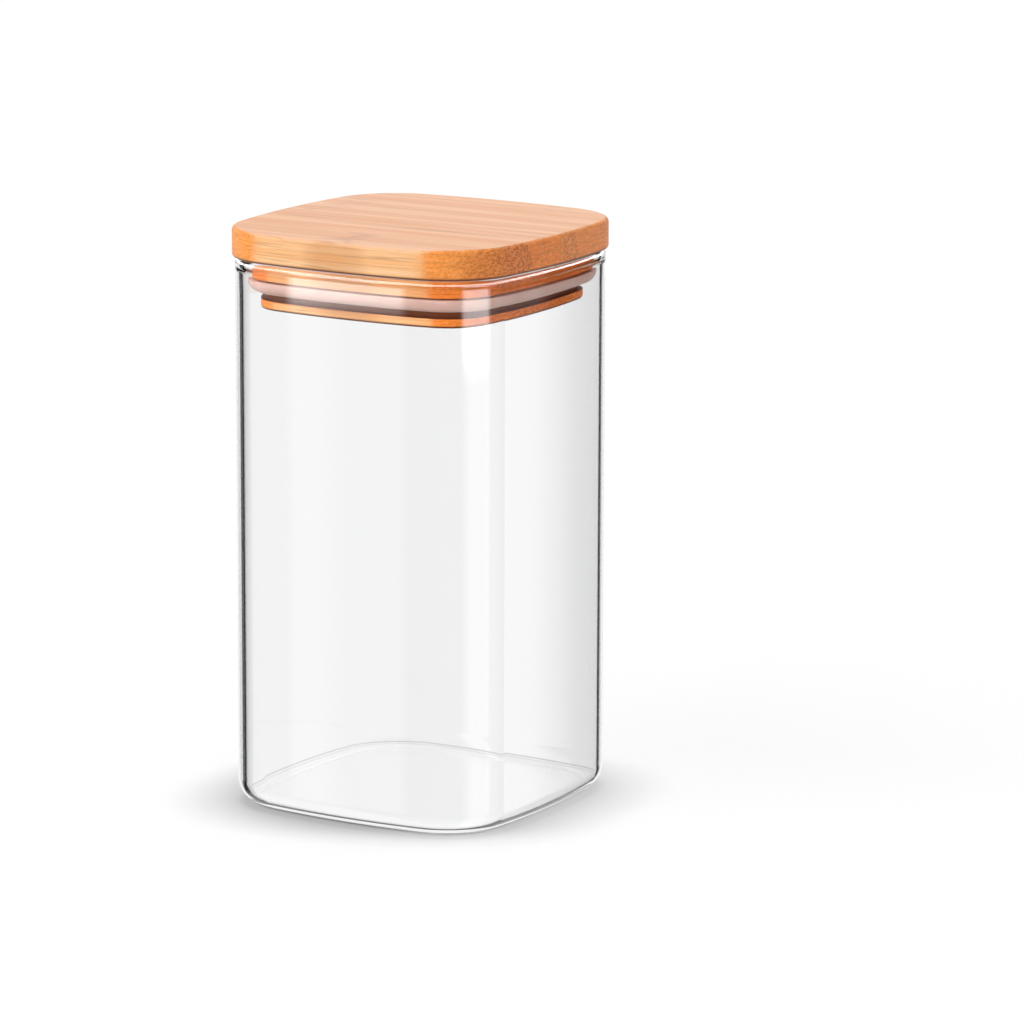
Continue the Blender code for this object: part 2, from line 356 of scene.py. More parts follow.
def half_breadth(y, inset):
    """Half the plan's breadth in X at a distance y from the middle, for a plan moved in by inset.

    Up to the corner it follows the bowed side's circle, round the corner the corner's, and
    beyond that the circle of the bowed end.
    """
    side_angle, corner_centre = corner_place()
    y = np.abs(y)
    side_reach = (SIDE_RADIUS - inset) * math.sin(side_angle)
    corner_reach = corner_centre + (CORNER_RADIUS - inset) * math.cos(side_angle)
    side_square = (SIDE_RADIUS - inset) ** 2 - y**2
    corner_square = (CORNER_RADIUS - inset) ** 2 - (y - corner_centre) ** 2
    end_square = (SIDE_RADIUS - inset) ** 2 - (y + SIDE_RADIUS - HALF_WIDTH) ** 2
    side = HALF_WIDTH - SIDE_RADIUS + np.sqrt(np.maximum(side_square, 0.0))
    corner = corner_centre + np.sqrt(np.maximum(corner_square, 0.0))
    end = np.sqrt(np.maximum(end_square, 0.0))
    return np.where(y <= side_reach, side, np.where(y <= corner_reach, corner, end))


def round_step(centre, radius, start, stop, steps):
    """Points of a section along an arc between two angles in degrees, both ends included."""
    angle = np.radians(np.linspace(start, stop, steps + 1))
    return np.stack([centre[0] + radius * np.cos(angle), centre[1] + radius * np.sin(angle)], axis=1)


def straight(start, stop, steps):
    """Evenly spaced points of a section between two points, both ends included."""
    return np.linspace(start, stop, steps + 1)


def swept_section(section, drift=0.0):
    """A section of (inset, level) points carried round the jar's plan: rows along the section.

    drift says, for each point of the section, how much of the wall's extra thickness moves it
    in. That thickness swells by the cube of a raised cosine towards one corner.
    """
    centre, radius, normal = outline_frame()
    inset, level = section[:, 0], section[:, 1]
    thickest = [math.cos(WALL_DRIFT_HEADING), math.sin(WALL_DRIFT_HEADING)]
    swell = WALL_DRIFT * ((1.0 + normal @ thickest) / 2) ** 3
    depth = inset[:, None] + np.broadcast_to(drift, inset.shape)[:, None] * swell[None]
    plan = centre[None] + normal[None] * (radius[None] - depth)[..., None]
    height = np.broadcast_to(level[:, None, None], (*plan.shape[:2], 1))
    return np.concatenate([plan, height], axis=2)


def flat_disc(inset, level):
    """The plan at an inset drawn in to its centre in equal steps, all at one level."""
    rim = swept_section(np.array([[inset, level]]))[0]
    disc = rim[None] * np.linspace(1.0, 0.0, DISC_STEPS + 1)[:, None, None]
    disc[..., 2] = level
    return disc


# Meshes


def grid_faces(rows, columns, wrap):
    """Quads between neighbouring points of a grid, closed round its columns if wrap is set."""
    row, column = np.meshgrid(np.arange(rows - 1), np.arange(columns - (not wrap)), indexing="ij")
    here, above = row * columns, (row + 1) * columns
    right = (column + 1) % columns
    corners = [here + column, here + right, above + right, above + column]
    return np.stack(corners, axis=-1).reshape(-1, 4)


def new_piece(name, patches, material, sharp=SHARP_ANGLE):
    """A closed smooth mesh from grids of points that meet at their edges, given as (points, wrap)."""
    points, faces, count = [], [], 0
    for grid, wrap in patches:
        rows, columns = grid.shape[:2]
        points.append(grid.reshape(-1, 3))
        faces.append(grid_faces(rows, columns, wrap) + count)
        count += rows * columns
    mesh = bpy.data.meshes.new(name)
    mesh.from_pydata(np.concatenate(points).tolist(), [], np.concatenate(faces).tolist())
    shape = bmesh.new()
    shape.from_mesh(mesh)
    bmesh.ops.remove_doubles(shape, verts=shape.verts, dist=MERGE_DISTANCE)
    bmesh.ops.dissolve_degenerate(shape, edges=shape.edges, dist=SLIVER_LENGTH)
    bmesh.ops.recalc_face_normals(shape, faces=shape.faces)
    shape.to_mesh(mesh)
    shape.free()
    mesh.shade_smooth()
    mesh.set_sharp_from_angle(angle=sharp)
    mesh.materials.append(material)
    piece = bpy.data.objects.new(name, mesh)
    bpy.context.scene.collection.objects.link(piece)
    return piece


def round_band(radii, levels):
    """A circle carried over a list of radii and levels that run along its rows."""
    angle = np.linspace(0.0, 2 * np.pi, CIRCLE_STEPS, endpoint=False)[None]
    grid = np.broadcast_arrays(radii * np.cos(angle), radii * np.sin(angle), levels)
    return np.stack(grid, axis=2)


# Shader nodes


def add_node(tree, kind, inputs=None, **settings):
    """A node with its settings, and its inputs set to values or linked to sockets."""
    node = tree.nodes.new(kind)
    for name, value in settings.items():
        setattr(node, name, value)
    for name, value in (inputs or {}).items():
        if isinstance(value, bpy.types.NodeSocket):
            tree.links.new(value, node.inputs[name])
        else:
            node.inputs[name].default_value = value
    return node


def maths(tree, operation, *values, clamp=False):
    """The output of a Math node."""
    node = add_node(tree, "ShaderNodeMath", dict(enumerate(values)), operation=operation, use_clamp=clamp)
    return node.outputs[0]


def product(tree, first, *others):
    """Values multiplied one after the other."""
    for other in others:
        first = maths(tree, "MULTIPLY", first, other)
    return first


def blend_values(tree, share, low, high):
    """The output of a Mix node between two values."""
    return add_node(tree, "ShaderNodeMix", {0: share, 2: low, 3: high}).outputs[0]


def blend_colours(tree, share, low, high):
    """The output of a Mix node between two colours."""
    node = add_node(tree, "ShaderNodeMix", data_type="RGBA")
    for index, value in ((0, share), (6, low), (7, high)):
        if isinstance(value, bpy.types.NodeSocket):
            tree.links.new(value, node.inputs[index])
        else:
            node.inputs[index].default_value = (*value, 1.0) if index else value
    return node.outputs[2]


def remap(tree, value, low, high, to_low=0.0, to_high=1.0):
    """A value eased from one range to another with soft ends."""
    inputs = {"Value": value, "From Min": low, "From Max": high, "To Min": to_low, "To Max": to_high}
    return add_node(tree, "ShaderNodeMapRange", inputs, interpolation_type="SMOOTHSTEP").outputs["Result"]


def band(tree, value, start, stop, ease):
    """One inside a range and zero outside it, with soft ends that reach outwards."""
    rise = remap(tree, value, start - ease, start)
    return product(tree, rise, remap(tree, value, stop, stop + ease, 1.0, 0.0))


def split(tree, vector):
    """The X, Y and Z of a vector."""
    return add_node(tree, "ShaderNodeSeparateXYZ", {0: vector}).outputs


def vector_maths(tree, operation, first, second):
    """A Vector Math node of two vectors."""
    return add_node(tree, "ShaderNodeVectorMath", {0: first, 1: second}, operation=operation)


def new_material(name):
    """A material with an empty node tree and its output node."""
    material = bpy.data.materials.new(name)
    material.use_nodes = True
    tree = material.node_tree
    tree.nodes.clear()
    return material, tree, tree.nodes.new("ShaderNodeOutputMaterial")


def millimetres(tree):
    """Object coordinates as a vector in millimetres."""
    place = tree.nodes.new("ShaderNodeTexCoord").outputs["Object"]
    inputs = {0: place, "Scale": 1.0 / MM}
    return add_node(tree, "ShaderNodeVectorMath", inputs, operation="SCALE").outputs[0]


def cloud(tree, place, frequency, detail=2.0):
    """A Noise texture with its own frequency along X, Y and Z, in features per millimetre."""
    scaled = vector_maths(tree, "MULTIPLY", place, frequency).outputs[0]
    inputs = {"Vector": scaled, "Scale": 1.0, "Detail": detail}
    return add_node(tree, "ShaderNodeTexNoise", inputs).outputs["Fac"]


# Materials


def clear_glass():
    """Colourless glass. Lamps shine through it without bending, so what it holds is lit."""
    material, tree, output = new_material("clear_glass")
    shader = add_node(tree, "ShaderNodeBsdfPrincipled", {
        "Base Color": (*GLASS_TINT, 1.0), "Roughness": 0.0, "IOR": GLASS_IOR, "Transmission Weight": 1.0})
    clear = add_node(tree, "ShaderNodeBsdfTransparent", {"Color": (*GLASS_SHADOW_TINT, 1.0)})
    path = tree.nodes.new("ShaderNodeLightPath")
    mix = add_node(tree, "ShaderNodeMixShader", {
        0: path.outputs["Is Shadow Ray"], 1: shader.outputs[0], 2: clear.outputs[0]})
    tree.links.new(mix.outputs[0], output.inputs["Surface"])
    return material


def bamboo_cloud(group, place, name):
    """One of the bamboo's clouds, eased from where it starts to where it is full."""
    frequency, detail, start, full = BAMBOO_CLOUDS[name]
    return remap(group, cloud(group, place, frequency, detail), start, full)


def bamboo_lines(group, place, name):
    """One of the bamboo's sets of thin lines, where a cloud crosses its middle value."""
    frequency, detail, width = BAMBOO_LINES[name]
    from_middle = maths(group, "SUBTRACT", cloud(group, place, frequency, detail), 0.5)
    return remap(group, maths(group, "ABSOLUTE", from_middle), 0.0, width, 1.0, 0.0)


def long_grain(group, place, x, upright, fibre, values):
    """Long grain: streaks, fibres and veins, and the stain of a knuckle across them.

    Upright faces also show the strip's thin layers and the dark edges between them.
    """
    pale = blend_colours(group, upright, *PALE_GRAIN)
    dark = blend_colours(group, upright, *DARK_GRAIN)
    colour = blend_colours(group, bamboo_cloud(group, place, "streak"), pale, dark)
    fibre_share = remap(group, fibre, *FIBRE_RANGE, FIBRE_SHARE, 0.0)
    colour = blend_colours(group, fibre_share, colour, FIBRE_COLOUR)
    veins = product(
        group, bamboo_lines(group, place, "vein"), bamboo_cloud(group, place, "vein share"),
        remap(group, upright, 0.0, 1.0, 1.0, UPRIGHT_VEIN_SHARE), VEIN_SHARE)
    colour = blend_colours(group, veins, colour, VEIN_COLOUR)
    layers = product(group, bamboo_cloud(group, place, "layer"), upright, LAYER_SHARE)
    colour = blend_colours(group, layers, colour, LAYER_COLOUR)
    layer_edges = product(group, bamboo_lines(group, place, "layer edge"), upright, LAYER_SHARE)
    colour = blend_colours(group, layer_edges, colour, LAYER_EDGE_COLOUR)
    from_knuckle = maths(group, "ABSOLUTE", maths(group, "SUBTRACT", x, values["Knuckle"]))
    knuckle = product(
        group, remap(group, from_knuckle, *KNUCKLE_REACH, 1.0, 0.0),
        bamboo_cloud(group, place, "blot"), values["Knuckle Share"])
    return blend_colours(group, knuckle, colour, blend_colours(group, upright, *KNUCKLE_STAIN))


def end_grain(group, place, y, z, along, values):
    """End grain: its colour, and the dots of its cut fibre bundles.

    The bundles are darker and denser between two places across the strip, and the second of
    these slants with the level.
    """
    lean = product(group, maths(group, "SUBTRACT", z, BOARD_MIDDLE / MM), DENSE_SLANT)
    dense = product(
        group, remap(group, y, values["Dense Start"], values["Dense Full"]),
        maths(group, "LESS_THAN", maths(group, "ADD", y, lean), values["Dense End"]),
        values["Dense Share"])
    turned = add_node(group, "ShaderNodeMapping", {
        "Vector": place, "Rotation": BUNDLE_TURN, "Scale": BUNDLE_SCALE}).outputs[0]
    bundle = add_node(group, "ShaderNodeTexVoronoi", {"Vector": turned, "Scale": 1.0}).outputs["Distance"]
    dots = remap(group, bundle, *DOT_RANGE, 1.0, 0.0)
    flecks = remap(group, bundle, *FLECK_RANGE)
    end_cloud = cloud(group, place, END_CLOUD_FREQUENCY, END_CLOUD_DETAIL)
    cloud_share = remap(group, end_cloud, *END_CLOUD_RANGE, END_CLOUD_SHARE, 0.0)
    colour = blend_colours(group, remap(group, along, *END_TURN_RANGE), *END_COLOURS)
    colour = blend_colours(group, cloud_share, colour, END_CLOUD_COLOUR)
    colour = blend_colours(group, product(group, dense, DENSE_SHARE), colour, DENSE_COLOUR)
    dot_share = maths(group, "MULTIPLY_ADD", dense, DENSE_DOT_SHARE, DOT_SHARE)
    colour = blend_colours(group, product(group, dots, dot_share), colour, DOT_COLOUR)
    colour = blend_colours(group, product(group, flecks, FLECK_SHARE), colour, FLECK_COLOUR)
    layer_share = maths(group, "SUBTRACT", END_LAYER_SHARE, product(group, dense, END_LAYER_SHARE))
    layers = product(group, bamboo_lines(group, place, "end layer"), layer_share)
    return blend_colours(group, layers, colour, END_LAYER_COLOUR), dots


def bamboo_group():
    """Bamboo in millimetres: long grain that runs along X, and end grain on faces that look along X.

    Over both come a dark line beside the glue, and painted shade on the lower edge and in the
    plug's groove. The power deepens the colour of the grain and the glue line only.
    """
    group = bpy.data.node_groups.new("bamboo_figure", "ShaderNodeTree")
    for name in (*FIGURE_NAMES, "Glue Line", "Lower Edge"):
        group.interface.new_socket(name=name, in_out="INPUT", socket_type="NodeSocketFloat")
    for name, kind in (("Colour", "Color"), ("Roughness", "Float"), ("Height", "Float")):
        group.interface.new_socket(name=name, in_out="OUTPUT", socket_type="NodeSocket" + kind)
    values = group.nodes.new("NodeGroupInput").outputs
    results = group.nodes.new("NodeGroupOutput")
    true_place = millimetres(group)
    seed = add_node(group, "ShaderNodeCombineXYZ", dict.fromkeys(range(3), values["Seed"])).outputs[0]
    place = vector_maths(group, "ADD", true_place, seed).outputs[0]
    x, y, z = split(group, true_place)
    normal = split(group, group.nodes.new("ShaderNodeTexCoord").outputs["Normal"])
    along = maths(group, "ABSOLUTE", normal[0])
    upright = remap(group, maths(group, "ABSOLUTE", normal[2]), *UPRIGHT_RANGE, 1.0, 0.0)
    fibre = cloud(group, place, FIBRE_FREQUENCY, FIBRE_DETAIL)

    end_share = remap(group, along, *END_RANGE)
    end_colour, dots = end_grain(group, place, y, z, along, values)
    colour = blend_colours(group, end_share, long_grain(group, place, x, upright, fibre, values), end_colour)
    from_glue = maths(group, "ABSOLUTE", maths(group, "SUBTRACT", y, values["Glue Line"]))
    colour = blend_colours(group, remap(group, from_glue, *GLUE_REACH, GLUE_SHARE, 0.0), colour, GLUE_COLOUR)
    deepened = {"Color": colour, "Gamma": values["Depth of Colour"]}
    colour = add_node(group, "ShaderNodeGamma", deepened).outputs[0]
    # Painted shade: the rounded lower edge is darkened, but the flat underside is not
    above = maths(group, "SUBTRACT", z, values["Lower Edge"])
    edge = product(
        group, remap(group, above, *LOWER_EDGE_SHADE_REACH, LOWER_EDGE_SHADE_SHARE, 0.0),
        remap(group, normal[2], *LOWER_EDGE_SHADE_TURN))
    colour = blend_colours(group, edge, colour, LOWER_EDGE_SHADE_COLOUR)
    # Painted shade in the plug's groove, between the flange and the foot of the ring
    dark_from = GROOVE_BOTTOM / MM - GROOVE_SHADE_BELOW
    dark_to = RING_FOOT / MM + GROOVE_SHADE_ABOVE_FOOT
    groove = product(group, band(group, z, dark_from, dark_to, GROOVE_SHADE_FADE), GROOVE_SHADE_SHARE)
    colour = blend_colours(group, groove, colour, GROOVE_SHADE_COLOUR)

    roughness = remap(group, fibre, *FIBRE_RANGE, *BAMBOO_ROUGHNESS)
    pits = product(group, dots, end_share, DOT_RELIEF)
    height = maths(group, "SUBTRACT", product(group, fibre, FIBRE_RELIEF), pits)
    for name, value in (("Colour", colour), ("Roughness", roughness), ("Height", height)):
        group.links.new(value, results.inputs[name])
    return group


def bamboo(name, group, corner):
    """Fine-sanded bamboo with one strip's figure. Its lowest corner places its glue line and the
    painted shade along its lower edge.

    Only the board is oiled, so the plug has less sheen.
    """
    material, tree, output = new_material(name)
    figure = add_node(tree, "ShaderNodeGroup", node_tree=group)
    for socket, value in zip(FIGURE_NAMES, STRIP_FIGURES[name]):
        figure.inputs[socket].default_value = value
    figure.inputs["Glue Line"].default_value = corner.y / MM
    figure.inputs["Lower Edge"].default_value = corner.z / MM
    bump = add_node(tree, "ShaderNodeBump", {
        "Strength": BAMBOO_BUMP, "Distance": BAMBOO_RELIEF, "Height": figure.outputs["Height"]})
    shader = add_node(tree, "ShaderNodeBsdfPrincipled", {
        "Base Color": figure.outputs["Colour"], "Roughness": figure.outputs["Roughness"],
        "Normal": bump.outputs[0], "IOR": BAMBOO_IOR,
        "Specular IOR Level": BOARD_SHEEN if "board" in name else PLUG_SHEEN})
    tree.links.new(shader.outputs[0], output.inputs["Surface"])
    return material


def silicone():
    """Translucent satin silicone with a faint haze."""
    material, tree, output = new_material("silicone")
    haze = cloud(tree, millimetres(tree), SILICONE_HAZE_FREQUENCY, SILICONE_HAZE_DETAIL)
    colour = blend_colours(tree, remap(tree, haze, *SILICONE_HAZE_RANGE), *SILICONE_COLOURS)
    grain = cloud(tree, millimetres(tree), SILICONE_GRAIN_FREQUENCY)
    bump = add_node(tree, "ShaderNodeBump", {
        "Strength": SILICONE_BUMP, "Distance": SILICONE_RELIEF, "Height": grain})
    shader = add_node(tree, "ShaderNodeBsdfPrincipled", {
        "Base Color": colour, "Normal": bump.outputs[0], "IOR": SILICONE_IOR,
        "Roughness": remap(tree, haze, *SILICONE_ROUGHNESS_RANGE, *SILICONE_ROUGHNESS),
        "Subsurface Weight": SILICONE_DEPTH_SHARE, "Subsurface Radius": SILICONE_DEPTH_COLOURS,
        "Subsurface Scale": SILICONE_DEPTH})
    tree.links.new(shader.outputs[0], output.inputs["Surface"])
    return material


# Pieces


def take_place(piece, node, body):
    """Let a finished piece stand for its CAD node."""
    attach(piece, body)
    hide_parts(node)


def blown_glass():
    """The glass vessel: one section, from the edge of the underside round to the floor's edge.

    The outer and inner walls flare into the bead by a smooth step. The inner wall drifts thicker
    towards one corner between the floor and the mouth. Flat discs close the underside and floor.
    """
    bead_level = RIM_TOP - RIM_BEAD_RADIUS
    bead_centre = RIM_BEAD_RADIUS - RIM_BEAD_BULGE
    mouth_bulge = bead_centre + RIM_BEAD_RADIUS - GLASS_WALL
    inner_radius = BASE_EDGE_RADIUS - GLASS_WALL
    inner_centre = (BASE_EDGE_RADIUS, BASE_THICKNESS + inner_radius)
    under = flat_disc(BASE_EDGE_RADIUS, 0.0)[::-1]
    floor = flat_disc(BASE_EDGE_RADIUS, BASE_THICKNESS)
    outer_fillet = round_step((BASE_EDGE_RADIUS, BASE_EDGE_RADIUS), BASE_EDGE_RADIUS, 270, 180, FILLET_STEPS)
    inner_fillet = round_step(inner_centre, inner_radius, 180, 270, FILLET_STEPS)
    flare = np.linspace(0.0, 1.0, FLARE_STEPS + 1)
    ease = flare**2 * (3.0 - 2.0 * flare)
    outer_levels = bead_level - RIM_OUTER_FLARE * (1.0 - flare)
    inner_levels = bead_level - RIM_INNER_FLARE * (1.0 - flare)
    outer_wall = straight((0.0, BASE_EDGE_RADIUS), (0.0, bead_level - RIM_OUTER_FLARE), WALL_STEPS)
    outer_flare = np.stack([-RIM_BEAD_BULGE * ease, outer_levels], axis=1)
    bead = round_step((bead_centre, bead_level), RIM_BEAD_RADIUS, 180, 0, FILLET_STEPS)
    inner_flare = np.stack([GLASS_WALL + mouth_bulge * ease, inner_levels], axis=1)[::-1]
    inner_wall = straight(
        (GLASS_WALL, bead_level - RIM_INNER_FLARE), (GLASS_WALL, inner_centre[1]), WALL_STEPS)
    outside = np.concatenate([outer_fillet, outer_wall[1:], outer_flare[1:], bead[1:]])
    inside = np.concatenate([inner_flare[1:], inner_wall[1:], inner_fillet[1:]])
    fade = np.cos(np.linspace(0.0, np.pi / 2, inner_fillet.shape[0]))[1:] ** 2
    inner_drift = [1.0 - ease[::-1][1:], np.ones(len(inner_wall) - 1), fade]
    drift = np.concatenate([np.zeros(len(outside)), *inner_drift])
    section = np.concatenate([outside, inside])
    patches = [(under, True), (swept_section(section, drift), True), (floor, True)]
    piece = new_piece("blown_glass", patches, clear_glass(), sharp=GLASS_SHARP_ANGLE)
    take_place(piece, "glass_jar", "jar")


def plan_edge(low, high, inset, gap):
    """One side of a strip's plan at an inset, from its front seam to its back one.

    It follows x = half breadth of y. Points crowd by a sine towards an end that is part of the
    lid's outline, and a seam is cut back by its ease at both of its corners.
    """
    reach = HALF_WIDTH - inset
    at_front = low.y < -reach * OUTER_STRIP_SHARE
    at_back = high.y > reach * OUTER_STRIP_SHARE
    start = -reach if at_front else low.y + gap
    stop = reach if at_back else high.y - gap
    share = np.linspace(0.0, 1.0, ALONG_STEPS)
    if at_front or at_back:
        turn = np.linspace(-1.0 if at_front else 0.0, 1.0 if at_back else 0.0, ALONG_STEPS)
        bend = np.sin(turn * np.pi / 2)
        share = (bend - bend[0]) / (bend[-1] - bend[0])
    cut_low = 0.0 if at_front else SEAM_EASE
    cut_high = 0.0 if at_back else SEAM_EASE
    y = start + cut_low + (stop - cut_high - start - cut_low) * share
    first = max(half_breadth(start, inset) - cut_low, 0.0)
    last = max(half_breadth(stop, inset) - cut_high, 0.0)
    x = np.concatenate([[first], half_breadth(y, inset), [last]])
    return x, np.concatenate([[start], y, [stop]])


def ruled(boundary):
    """Lines across a strip in X from one side of its plan to the mirrored one."""
    ruling = np.linspace(1.0, -1.0, ACROSS_STEPS + 1)
    grid = np.repeat(boundary[:, None], ruling.size, axis=1)
    grid[..., 0] *= ruling
    return grid


def milled_strip(name, node, profile, material):
    """A bamboo strip: its plan, cut off at its two seams, stacked along an edge profile.

    Each level's plan is bounded by its edge and by the edge's mirror image, and the two ends of
    the stack are ruled across from one to the other.
    """
    low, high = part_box(node)
    rows = []
    for inset, level, gap in profile:
        x, y = plan_edge(low, high, inset, gap)
        rows.append(np.stack([x, y, np.full_like(x, level)], axis=1))
    edge = np.stack(rows)
    mirrored_edge = (edge * [-1.0, 1.0, 1.0])[:, ::-1]
    back = ruled(edge[:, -1])[:, 1:-1]
    front = ruled(edge[:, 0])[:, ::-1][:, 1:-1]
    loop = np.concatenate([edge, back, mirrored_edge, front], axis=1)
    patches = [(loop, True), (ruled(edge[0]), False), (ruled(edge[-1]), False)]
    take_place(new_piece(name, patches, material), node, "lid")


def eased(profile):
    """A profile of (inset, level) points with the seam's gap added: open at both ends only."""
    level = profile[:, 1]
    depth = np.minimum(level - level.min(), level.max() - level)
    gap = np.clip(SEAM_EASE - depth, 0.0, SEAM_EASE)
    return np.column_stack([profile, gap])


def board_profile():
    """The board's edge from its underside up, round at both edges."""
    low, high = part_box("lid_board_strip_2")
    inset = HALF_WIDTH - high.x
    lower, upper = BOARD_LOWER_EDGE_RADIUS, BOARD_TOP_EDGE_RADIUS
    return eased(np.concatenate([
        round_step((inset + lower, low.z + lower), lower, 270, 180, EDGE_STEPS),
        straight((inset, low.z + lower), (inset, high.z - upper), FACE_STEPS)[1:],
        round_step((inset + upper, high.z - upper), upper, 180, 90, TOP_EDGE_STEPS)[1:],
    ]))


def neck_inset():
    """How far the bottom of the plug's groove lies inside the glass's plan."""
    return HALF_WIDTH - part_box("plug_lower_strip_2")[1].x + GROOVE_DEPTH


def upper_plug_profile():
    """The plug's upper ply from its underside up: the neck in the groove, then the shoulder."""
    low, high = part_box("plug_upper_strip_2")
    inset, neck = HALF_WIDTH - high.x, neck_inset()
    groove_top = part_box("silicone_seal")[1].z + RING_TOP_CLEARANCE
    milled = inset + MILLED_EASE
    return eased(np.concatenate([
        straight((neck, low.z), (neck, groove_top), SHORT_STEPS),
        straight((neck, groove_top), (milled, groove_top), SHORT_STEPS)[1:],
        round_step((milled, groove_top + MILLED_EASE), MILLED_EASE, 270, 180, SHORT_STEPS)[1:],
        straight((inset, groove_top + MILLED_EASE), (inset, high.z), FACE_STEPS)[1:],
    ]))


def lower_plug_profile():
    """The plug's lower ply from its underside up: the round flange, then the neck in the groove."""
    low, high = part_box("plug_lower_strip_2")
    inset, neck = HALF_WIDTH - high.x, neck_inset()
    milled, edge = inset + MILLED_EASE, FLANGE_EDGE_RADIUS
    return eased(np.concatenate([
        round_step((inset + edge, low.z + edge), edge, 270, 180, EDGE_STEPS),
        straight((inset, low.z + edge), (inset, GROOVE_BOTTOM - MILLED_EASE), SHORT_STEPS)[1:],
        round_step((milled, GROOVE_BOTTOM - MILLED_EASE), MILLED_EASE, 180, 90, SHORT_STEPS)[1:],
        straight((milled, GROOVE_BOTTOM), (neck, GROOVE_BOTTOM), LEDGE_STEPS)[1:],
        straight((neck, GROOVE_BOTTOM), (neck, high.z), SHORT_STEPS)[1:],
    ]))


def bamboo_lid():
    """The board and the two plies of the plug, strip by strip."""
    group = bamboo_group()
    for ply, name, profile in (
        ("lid_board", "bamboo_board", board_profile()),
        ("plug_upper", "bamboo_upper_plug", upper_plug_profile()),
        ("plug_lower", "bamboo_lower_plug", lower_plug_profile()),
    ):
        for node in sorted(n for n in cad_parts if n.startswith(ply)):
            piece_name = f"{name}_{node[-1]}"
            milled_strip(piece_name, node, profile, bamboo(piece_name, group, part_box(node)[0]))


def silicone_ring():
    """The ring in the groove: flat top, thin lip, then a quarter round down to its foot."""
    low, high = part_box("silicone_seal")
    outer, inner = HALF_WIDTH - high.x, neck_inset() - RING_NECK_CLEARANCE
    round_radius = high.z - low.z - RING_LIP
    ease = RING_LIP / 2
    foot = (outer + round_radius, low.z + round_radius)
    section = np.concatenate([
        straight((inner, low.z + ease), (inner, high.z - ease), SHORT_STEPS),
        round_step((inner - ease, high.z - ease), ease, 0, 90, RING_EASE_STEPS)[1:],
        straight((inner - ease, high.z), (outer + ease, high.z), FACE_STEPS)[1:],
        round_step((outer + ease, high.z - ease), ease, 90, 180, SHORT_STEPS)[1:],
        round_step(foot, round_radius, 180, 270, RING_ROUND_STEPS)[1:],
        straight((outer + round_radius, low.z), (inner - ease, low.z), LEDGE_STEPS)[1:],
        round_step((inner - ease, low.z + ease), ease, 270, 360, RING_EASE_STEPS)[1:],
    ])
    piece = new_piece("silicone_ring", [(swept_section(section), True)], silicone())
    take_place(piece, "silicone_seal", "lid")


# Studio


def studio_camera():
    """The camera where the photograph was taken from, turned, pitched and rolled to its frame."""
    to_axis = Vector((-math.sin(CAMERA_AZIMUTH), math.cos(CAMERA_AZIMUTH), 0.0))
    aside = Vector((math.cos(CAMERA_AZIMUTH), math.sin(CAMERA_AZIMUTH), 0.0))
    level = to_axis * math.cos(CAMERA_TURN) + aside * math.sin(CAMERA_TURN)
    ahead = level * math.cos(CAMERA_PITCH) - Vector((0.0, 0.0, math.sin(CAMERA_PITCH)))
    right = ahead.cross(Vector((0.0, 0.0, 1.0))).normalized()
    up = right.cross(ahead)
    rolled_right = right * math.cos(CAMERA_ROLL) + up * math.sin(CAMERA_ROLL)
    rolled_up = up * math.cos(CAMERA_ROLL) - right * math.sin(CAMERA_ROLL)
    camera = bpy.data.objects.new("camera", bpy.data.cameras.new("camera"))
    camera.data.lens = CAMERA_LENS
    camera.data.sensor_width = CAMERA_SENSOR
    place = Vector((0.0, 0.0, CAMERA_HEIGHT)) - to_axis * CAMERA_DISTANCE
    turned = Matrix((rolled_right, rolled_up, -ahead)).transposed().to_4x4()
    camera.matrix_world = Matrix.Translation(place) @ turned
    bpy.context.scene.collection.objects.link(camera)
    bpy.context.scene.camera = camera


def studio_lamp():
    """One broad soft lamp from the front left, above."""
    lamp = bpy.data.lights.new("soft_key", "SUN")
    lamp.energy = KEY_STRENGTH
    lamp.angle = KEY_ANGLE
    key = bpy.data.objects.new("soft_key", lamp)
    key.rotation_mode = "QUATERNION"
    key.rotation_quaternion = Vector(KEY_TOWARDS).to_track_quat("Z", "Y")
    key.visible_glossy = key.visible_transmission = False
    bpy.context.scene.collection.objects.link(key)


def toward_camera(tree, x, y):
    """Parts of a horizontal place or direction towards the camera and to its right."""
    sine, cosine = math.sin(CAMERA_AZIMUTH), math.cos(CAMERA_AZIMUTH)
    towards = maths(tree, "SUBTRACT", product(tree, x, sine), product(tree, y, cosine))
    aside = maths(tree, "ADD", product(tree, x, cosine), product(tree, y, sine))
    return towards, aside


def skin_view(tree, on_axis, side, behind, towards, aside, z):
    """What light that has crossed one skin of the glass sees: cards with dark gaps between them.

    The card in front is dim, the one to the right of the back is between, and steeply below all
    is white.
    """
    axis_level = maths(tree, "MULTIPLY_ADD", behind, CARD_LEVEL - MIRROR_LEVEL, MIRROR_LEVEL)
    far_right = product(
        tree, remap(tree, towards, *FAR_RIGHT_TOWARDS, 1.0, 0.0), remap(tree, aside, *FAR_RIGHT_ASIDE))
    side_level = maths(tree, "MULTIPLY_ADD", far_right, FAR_RIGHT_LEVEL - CARD_LEVEL, CARD_LEVEL)
    cards = maths(tree, "MULTIPLY_ADD", side, side_level, product(tree, on_axis, axis_level))
    return blend_values(tree, remap(tree, z, *STEEP_SKIN, 1.0, 0.0), cards, CARD_LEVEL)


def mirror_view(tree, on_axis, side, behind, z):
    """What sharp mirror images see: dim, but for the card behind the jar and steeply below."""
    gap = maths(tree, "SUBTRACT", 1.0, maths(tree, "MAXIMUM", on_axis, side))
    back_card = product(tree, on_axis, behind)
    level = maths(tree, "MULTIPLY_ADD", back_card, 1.0 - MIRROR_LEVEL, MIRROR_LEVEL)
    level = maths(tree, "SUBTRACT", level, product(tree, gap, behind, MIRROR_GAP_DROP))
    return blend_values(tree, remap(tree, z, *STEEP_MIRROR, 1.0, 0.0), level, CARD_LEVEL)


